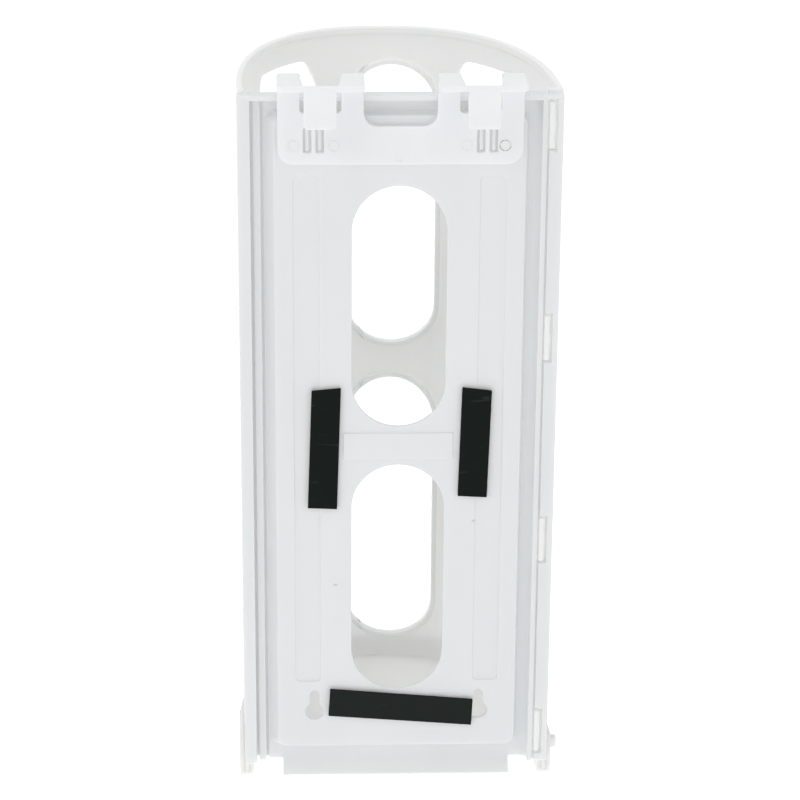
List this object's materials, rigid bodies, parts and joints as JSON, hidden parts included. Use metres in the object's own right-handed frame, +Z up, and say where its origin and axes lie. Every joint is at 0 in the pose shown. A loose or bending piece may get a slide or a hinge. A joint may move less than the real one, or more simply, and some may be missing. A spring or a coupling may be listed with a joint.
{
  "type": "over-door plastic bag dispenser",
  "caption": "Half-round white plastic bag dispenser with a slotted back panel, a clip-on over-door hook plate, a hinged front shell, a clip-on base tray and adhesive strips.",
  "frame": {"origin": "middle of the back panel's rib, on its wall-side face", "axes": "+Y points to the wall or door the dispenser hangs on, +Z is up, +X is the hinge side of the front shell"},
  "size_m": [0.1603, 0.1514, 0.3676],
  "materials": {
    "white_polypropylene": "satin moulded white polypropylene",
    "black_adhesive_strip": "matte black foam adhesive strip"
  },
  "bodies": {
    "panel": {"back_panel": "white_polypropylene", "tape_left": "black_adhesive_strip", "tape_right": "black_adhesive_strip", "tape_bottom": "black_adhesive_strip"},
    "hook": {"hook_plate": "white_polypropylene"},
    "shell": {"front_shell": "white_polypropylene"},
    "tray": {"base_tray": "white_polypropylene"}
  },
  "joints": [
    {"name": "shell_swing", "type": "hinge", "parent": "panel", "child": "shell", "pos_m": [0.076, -0.00455, 0], "axis": [0, 0, 1], "range_deg": [0, 75]},
    {"name": "tray_drop", "type": "slide", "parent": "shell", "child": "tray", "axis": [0, 0, -1], "range_m": [0, 0.03]},
    {"name": "hook_pull", "type": "slide", "parent": "panel", "child": "hook", "axis": [0, 1, 0], "range_m": [0, 0.02]}
  ]
}
